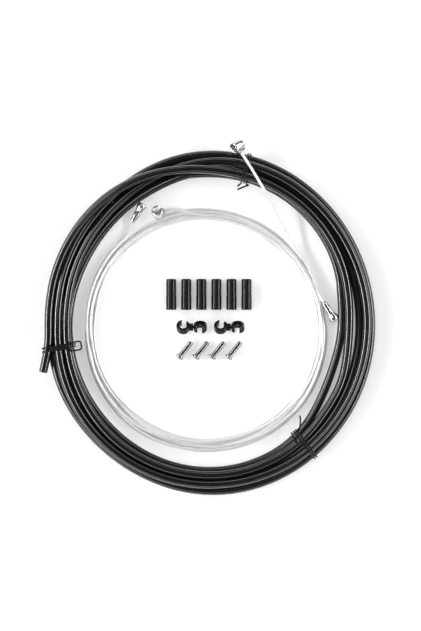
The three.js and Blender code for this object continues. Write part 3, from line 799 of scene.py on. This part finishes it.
# the left tie's twisted ends, and where its two legs lie along the bundle, outside and inside the ring
twist = {
    "radius": 0.56, "pitch": 4.2, "from": -1.8, "to": 5.2, "middle": 0.7, "gap": 0.15, "steps": 18,
    "nearLeg": (1.75, 3.6), "farLeg": (-0.35, -1.2),
}


def leftTiePoints(centres):
    # one wire folded in half: the fold lies inside the ring, the ends are twisted on top
    top = max(centres[:, 1]) + housing["diameter"] / 2
    radius, start, stop, steps = (twist[k] for k in ("radius", "from", "to", "steps"))
    height = top + tie["diameter"] * 0.5 + radius + twist["gap"]

    def leg(side):
        points = []
        outer, inner = twist["nearLeg"] if side > 0 else twist["farLeg"]
        for step in range(steps, -1, -1):
            x = start + (stop - start) * step / steps
            spin = 2 * math.pi * (x - start) / twist["pitch"]
            points.append((x, twist["middle"] + side * radius * math.cos(spin),
                           height + side * radius * math.sin(spin)))
        # from the twist over the top and down the outside, under the bundle, and up the inside
        points += hullPass(centres, 150, 360, 0.5 + side * 0.6, outer, 22)
        points += hullPass(centres, 370, 445, outer, outer, 7)
        points += hullPass(centres, 458, 500, outer + side * 0.3, inner, 5)
        points += [(-10.2, inner, top - 2.6), (-11.4, inner - side * 0.15, top - 3),
                   (-12, inner - side * 0.8, top - 3.2)]
        return points

    return [*leg(1), (-12.1, 1.2, top - 3.3), *reversed(leg(-1))]


def wrapPoints(centres, firstTail, lastTail):
    half = tie["wrapSpacing"] / 2

    def over(y):
        return hullPass(centres, 165, 0, y, y, 16)

    def under(a, b):
        return hullPass(centres, -12, -160, a, b, 14)

    return [*firstTail, *over(half), *under(half, -half), *over(-half), *under(-half, -3 * half), *lastTail]


# tails: how far outwards from the bundle's middle line, along it, and up
ties = {
    "left": {"angleDeg": 189},
    "top": {"angleDeg": 76.5,
            "firstTail": [(-11.3, 2.4, 8.4), (-10.3, 1.7, 8.8), (-9.1, 0.9, 7.4)],
            "lastTail": [(-8.9, -2.4, 5.2), (-9.2, -3.5, 7.6), (-10.4, -1.8, 9.7), (-13.2, 2.1, 10.4)]},
    "right": {"angleDeg": -51.6,
              "firstTail": [(-15.2, 7.6, 7.4), (-12.8, 6.2, 8.6), (-9.9, 3.2, 8.4), (-9.2, 1.3, 6.6)],
              "lastTail": [(-8.9, -2.4, 5.2), (-8.4, -2.9, 8.2), (-6, -3.3, 10.9), (-2.4, -3.6, 11.8)]},
}


def makeTies():
    for side, facts in ties.items():
        centres = strandsAt(facts["angleDeg"])
        if side == "left":
            points = leftTiePoints(centres)
        else:
            points = wrapPoints(centres, facts["firstTail"], facts["lastTail"])
        makeTie(f"{side}Tie", f"tie_{side}", facts["angleDeg"], points)


makeTies()


# ferrules for the housing's ends
ferrule = {
    "count": 6, "pitch": 8.6, "rowX": -0.1, "rowY": 16.2, "length": 17.7, "sleeveLength": 8.6,
    "sleeveDiameter": 6, "noseDiameter": 5.8, "boreDiameter": 5.15, "socketDepth": 8,
    "wireHole": 2.4, "noseRounding": 0.8, "grooveDepth": 0.2, "sides": 64,
}


def makeFerrules():
    sizes = ("sleeveDiameter", "noseDiameter", "boreDiameter", "wireHole")
    sleeve, nose, bore, hole = (ferrule[k] / 2 for k in sizes)
    length, step, soft = ferrule["length"], ferrule["sleeveLength"], ferrule["noseRounding"]
    depth, groove = ferrule["socketDepth"], nose - ferrule["grooveDepth"]
    profile = [(bore, 0), (sleeve - 0.25, 0), (sleeve, 0.3), (sleeve, 0.6), (sleeve, step - 0.4),
               (sleeve, step - 0.12), (sleeve - 0.08, step), (groove, step), (groove, step + 0.35),
               (nose, step + 0.5), (nose, step + 0.8),
               (nose, length - soft - 0.3), (nose, length - soft)]
    profile += [(nose - soft * (1 - math.cos(t)), length - soft * (1 - math.sin(t)))
                for t in np.radians((22, 45, 68, 90))]
    profile += [(hole, length), (hole, depth), (bore, depth), (bore, 0)]
    for index in range(ferrule["count"]):
        x = ferrule["rowX"] + (index - (ferrule["count"] - 1) / 2) * ferrule["pitch"]
        place = (x, ferrule["rowY"] - length / 2, sleeve)
        made = turnedObject(f"ferrule{index + 1}", profile, ferrule["sides"], spun("X", -90), place,
                            finish["ferrulePlastic"])
        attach(sharpen(made, 30), "root")
        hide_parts(f"ferrule_{index + 1}")
    print("ferrules made")


makeFerrules()


# crimp caps for the wires' cut ends
crimp = {
    "count": 4, "pitch": 9.35, "rowX": 0.45, "rowY": -15.5, "headingDeg": 51.4, "length": 12,
    "bodyDiameter": 3.1, "flareDiameter": 4.8, "flareLength": 2.2, "lipRadius": 0.8,
    "boreDiameter": 1.9, "boreDepth": 9.8, "tipLength": 1.1, "floorGap": 0.03, "sides": 48,
}


def makeCrimps():
    body, flare, bore = (crimp[k] / 2 for k in ("bodyDiameter", "flareDiameter", "boreDiameter"))
    wall, length, bell = body - bore, crimp["length"], crimp["flareLength"]
    # from the lip's rim over its roll to the body, round the tip, and back up the bore to the rim
    roll, neck, tip = crimp["lipRadius"], flare - crimp["lipRadius"] / 2, crimp["tipLength"]
    profile = [(flare - roll + roll * math.cos(t), roll + roll * math.sin(t))
               for t in np.radians((-90, -60, -30, 0, 30, 60))]
    bead = profile[-1][1]
    profile += [(body + (neck - body) * (1 - t) ** 3.2, bead + (bell - bead) * t)
                for t in (0.15, 0.35, 0.6, 0.85, 1)]
    profile += [(body, bell + 0.4), (body, length - tip - 0.4), (body, length - tip)]
    profile += [(body * math.cos(t), length - tip + tip * math.sin(t)) for t in np.radians((20, 40, 60, 78))]
    profile += [(0, length), (0, crimp["boreDepth"]), (bore, crimp["boreDepth"]), (bore, bell)]
    profile += [(bore + (flare - wall - bore) * t**1.7, bell + (0.3 - bell) * t)
                for t in (0.3, 0.6, 0.85, 1)]
    profile += [profile[0]]
    heading = math.radians(crimp["headingDeg"])
    dip = math.degrees(math.asin((flare - body) / (length - 0.9)))  # lip and tip both rest on the floor
    turning = spun("Z", crimp["headingDeg"]) @ spun("Y", dip) @ spun("Y", 90)
    for index in range(crimp["count"]):
        x = crimp["rowX"] + (index - (crimp["count"] - 1) / 2) * crimp["pitch"]
        place = (x - length / 2 * math.cos(heading), crimp["rowY"] - length / 2 * math.sin(heading),
                 flare + crimp["floorGap"])
        made = turnedObject(f"crimpCap{index + 1}", profile, crimp["sides"], turning, place,
                            finish["crimpMetal"])
        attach(sharpen(made, 40), "root")
        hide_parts(f"crimp_cap_{index + 1}")
    print("crimp caps made")


makeCrimps()


# swivel clips: an open hook with a bored neck, and a hook whose headed pin turns in that bore
clip = {
    "centresX": (-9.9, 11.5), "rowY": -2.5, "axisHeight": 4.0746, "spacing": 9.8,
    "hookDiameter": 7.6, "boreDiameter": 4.1, "width": 4.3, "mouthWidth": 2.6, "mouthFlare": 0.2,
    "rounding": 0.5, "socketDeg": -36, "socketMouthDeg": 76, "pinDeg": 56, "pinMouthDeg": -100,
    "neckDiameter": 4.3, "neckSides": 48, "pinDiameter": 1.6, "pinSides": 32, "pinRootDepth": 0.9,
    "pinHeadDiameter": 2.5, "pinHeadLength": 0.8, "gap": 0.25, "endWall": 0.7, "sides": 72,
}


def hookRing(name):
    # a full ring with rounded edges about Z, then its mouth is cut out towards +Y
    outer, bore, half = (clip[k] / 2 for k in ("hookDiameter", "boreDiameter", "width"))
    soft = clip["rounding"]
    corners = [(outer, -half, 1, -1), (outer, half, 1, 1), (bore, half, -1, 1), (bore, -half, -1, -1)]
    section = []
    for radius, height, outwards, upwards in corners:
        quarter = [(math.sin(t), math.cos(t)) for t in np.radians((0, 22.5, 45, 67.5, 90))]
        if outwards == upwards:
            quarter.reverse()
        for a, b in quarter:
            section.append((radius - outwards * soft * (1 - a), height - upwards * soft * (1 - b)))
    sides, count = clip["sides"], len(section)
    points = [(r * math.cos(2 * math.pi * k / sides), r * math.sin(2 * math.pi * k / sides), z)
              for k in range(sides) for r, z in section]
    faces = []
    for k in range(sides):
        for j in range(count):
            here, there = k * count, (k + 1) % sides * count
            faces.append((here + j, there + j, there + (j + 1) % count, here + (j + 1) % count))
    return newObject(name, points, faces, [finish["clipPlastic"]])


def mouthTool():
    # a block a little wider at its far end, tall enough to pass right through the ring
    near, far = clip["mouthWidth"] / 2, clip["mouthWidth"] / 2 + clip["mouthFlare"]
    start, stop, tall = 0.4, clip["hookDiameter"] / 2 + 0.4, clip["width"]
    corners = [(-near, start), (near, start), (far, stop), (-far, stop)]
    points = [(x, y, z) for z in (-tall, tall) for x, y in corners]
    faces = [(3, 2, 1, 0), (4, 5, 6, 7)] + [(k, (k + 1) % 4, (k + 1) % 4 + 4, k + 4) for k in range(4)]
    return newObject("mouth", points, faces, [finish["clipPlastic"]], smooth=False)


def alongX(name, profile, sides):
    points, faces = turned(profile, sides)
    return newObject(name, placed(points, spun("Y", 90), np.zeros(3)), faces, [finish["clipPlastic"]])


def makeHook(name, node, body, turnDeg, firstHookX, isPin):
    # along X from the first hook's middle: its bore's end wall, the neck, and the second hook
    outer, bore, gap = clip["hookDiameter"] / 2, clip["boreDiameter"] / 2, clip["gap"]
    widths = ("pinDiameter", "pinHeadDiameter", "neckDiameter")
    pinRadius, headRadius, neckRadius = (clip[k] / 2 for k in widths)
    neckEnd, floor = clip["spacing"] - outer - gap, bore + clip["endWall"]
    headTip = floor + gap
    headBack = headTip + clip["pinHeadLength"]
    hook = combined(hookRing(name), "DIFFERENCE", mouthTool())
    if isPin:
        turning = spun("Z", clip["pinMouthDeg"] - 90).to_4x4()
        hook.data.transform(Matrix.Translation((clip["spacing"], 0, 0)) @ turning)
        root = clip["spacing"] - outer + clip["pinRootDepth"]
        pin = [(0, headTip), (headRadius - 0.3, headTip), (headRadius, headTip + 0.3), (headRadius, headBack),
               (pinRadius, headBack), (pinRadius, root), (0, root)]
        made = combined(hook, "UNION", alongX("pin", pin, clip["pinSides"]))
    else:
        hook.data.transform(spun("Z", clip["socketMouthDeg"] - 90).to_4x4())
        start = floor - 0.2
        neck = rounded([(0, start), (neckRadius, start), (neckRadius, neckEnd), (0, neckEnd)], 0.2)
        lip = headBack + gap
        hole = [(0, floor), (headRadius + gap, floor), (headRadius + gap, lip), (pinRadius + gap, lip),
                (pinRadius + gap, neckEnd + 1), (0, neckEnd + 1)]
        made = combined(hook, "UNION", alongX("neck", neck, clip["neckSides"]))
        made = combined(made, "DIFFERENCE", alongX("hole", hole, clip["pinSides"]))
    place = Matrix.Translation(toFrame((firstHookX, clip["rowY"], clip["axisHeight"])))
    made.data.transform(place @ Matrix.Scale(mm, 4) @ spun("X", turnDeg).to_4x4())
    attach(sharpen(made, 40), body)
    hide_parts(node)


def makeClips():
    for number, centreX in enumerate(clip["centresX"], 1):
        first, node = centreX - clip["spacing"] / 2, f"clip_{number}"
        makeHook(f"clip{number}SocketHook", f"{node}_socket_hook", "root", clip["socketDeg"], first, False)
        makeHook(f"clip{number}PinHook", f"{node}_pin_hook", f"{node}_pin", clip["pinDeg"], first, True)
    print("clips made")


makeClips()


# floor, lamps and the pale surround
studio = {
    "floorSize": 6, "floorGlow": 0.4,
    "floor": {"colour": (0.7, 0.7, 0.7), "roughness": 0.9, "specular": 0.1},
    "keyLamp": {"place": (-0.4, 0.25, 1.6), "watts": 2, "width": 0.4, "length": 0.4},
    # brightness of the surround, and of a low band of softboxes all round, by height:
    # 0 is the horizon and 1 straight up
    "surround": 0.08,
    "band": [(0.45, 0), (0.47, 1), (0.54, 1), (0.56, 0)],
    "bandBack": 4, "bandSides": 50, "bandSideFall": 5, "bandLeft": 4,
}


def makeFloor():
    half = studio["floorSize"] / 2
    material = newMaterial("paleFloor", studio["floor"])
    shader = material.node_tree.nodes["Principled BSDF"]
    # the floor shows as white to the camera, and in metal, and still keeps the shadows
    nodes, links = material.node_tree.nodes, material.node_tree.links
    rays = nodes.new("ShaderNodeLightPath")
    shown = rays.outputs["Is Camera Ray"]
    for kind in ("Is Glossy Ray", "Is Transmission Ray"):
        either = nodes.new("ShaderNodeMath")
        either.operation = "MAXIMUM"
        links.new(shown, either.inputs[0])
        links.new(rays.outputs[kind], either.inputs[1])
        shown = either.outputs["Value"]
    glow = nodes.new("ShaderNodeMath")
    glow.operation = "MULTIPLY"
    glow.inputs[1].default_value = studio["floorGlow"]
    links.new(shown, glow.inputs[0])
    shader.inputs["Emission Color"].default_value = (1, 1, 1, 1)
    links.new(glow.outputs["Value"], shader.inputs["Emission Strength"])
    corners = [(-half, -half, 0), (half, -half, 0), (half, half, 0), (-half, half, 0)]
    floor = newObject("floor", corners, [(0, 1, 2, 3)], [material], smooth=False)


def addLamp(name, facts):
    data = bpy.data.lights.new(name, "AREA")
    data.shape, data.size, data.size_y = "RECTANGLE", facts["width"], facts["length"]
    data.energy = facts["watts"]
    lamp = bpy.data.objects.new(name, data)
    lamp.location = facts["place"]
    lamp.rotation_euler = (-Vector(facts["place"])).to_track_quat("-Z", "Y").to_euler()
    scene.collection.objects.link(lamp)


def lightScene():
    addLamp("keyLamp", studio["keyLamp"])
    world = bpy.data.worlds.new("studio")
    scene.world = world
    world.use_nodes = True
    nodes, links = world.node_tree.nodes, world.node_tree.links

    def compute(operation, *values):
        node = nodes.new("ShaderNodeMath")
        node.operation = operation
        for socket, value in zip(node.inputs, values):
            if isinstance(value, (int, float)):
                socket.default_value = value
            else:
                links.new(value, socket)
        return node.outputs["Value"]

    direction = nodes.new("ShaderNodeTexCoord")
    parts = nodes.new("ShaderNodeSeparateXYZ")
    links.new(direction.outputs["Generated"], parts.inputs["Vector"])
    band = nodes.new("ShaderNodeValToRGB")
    for index, (height, level) in enumerate(studio["band"]):
        stops = band.color_ramp.elements
        stop = stops[index] if index < 2 else stops.new(height)
        stop.position, stop.color = height, (level, level, level, 1)
    links.new(parts.outputs["Z"], band.inputs["Fac"])
    # the band is brightest at the sides, a little more on the left
    sideways = compute("ABSOLUTE", parts.outputs["X"])
    side = compute("MULTIPLY", compute("POWER", sideways, studio["bandSideFall"]), studio["bandSides"])
    left = compute("MULTIPLY", parts.outputs["X"], -studio["bandLeft"])
    level = compute("ADD", compute("ADD", side, left), studio["bandBack"])
    strength = compute("ADD", compute("MULTIPLY", level, band.outputs["Color"]), studio["surround"])
    links.new(strength, nodes["Background"].inputs["Strength"])
    nodes["Background"].inputs["Color"].default_value = (1, 1, 1, 1)
    scene.view_settings.view_transform = "Standard"


makeFloor()
lightScene()
print("floor and lamps made")
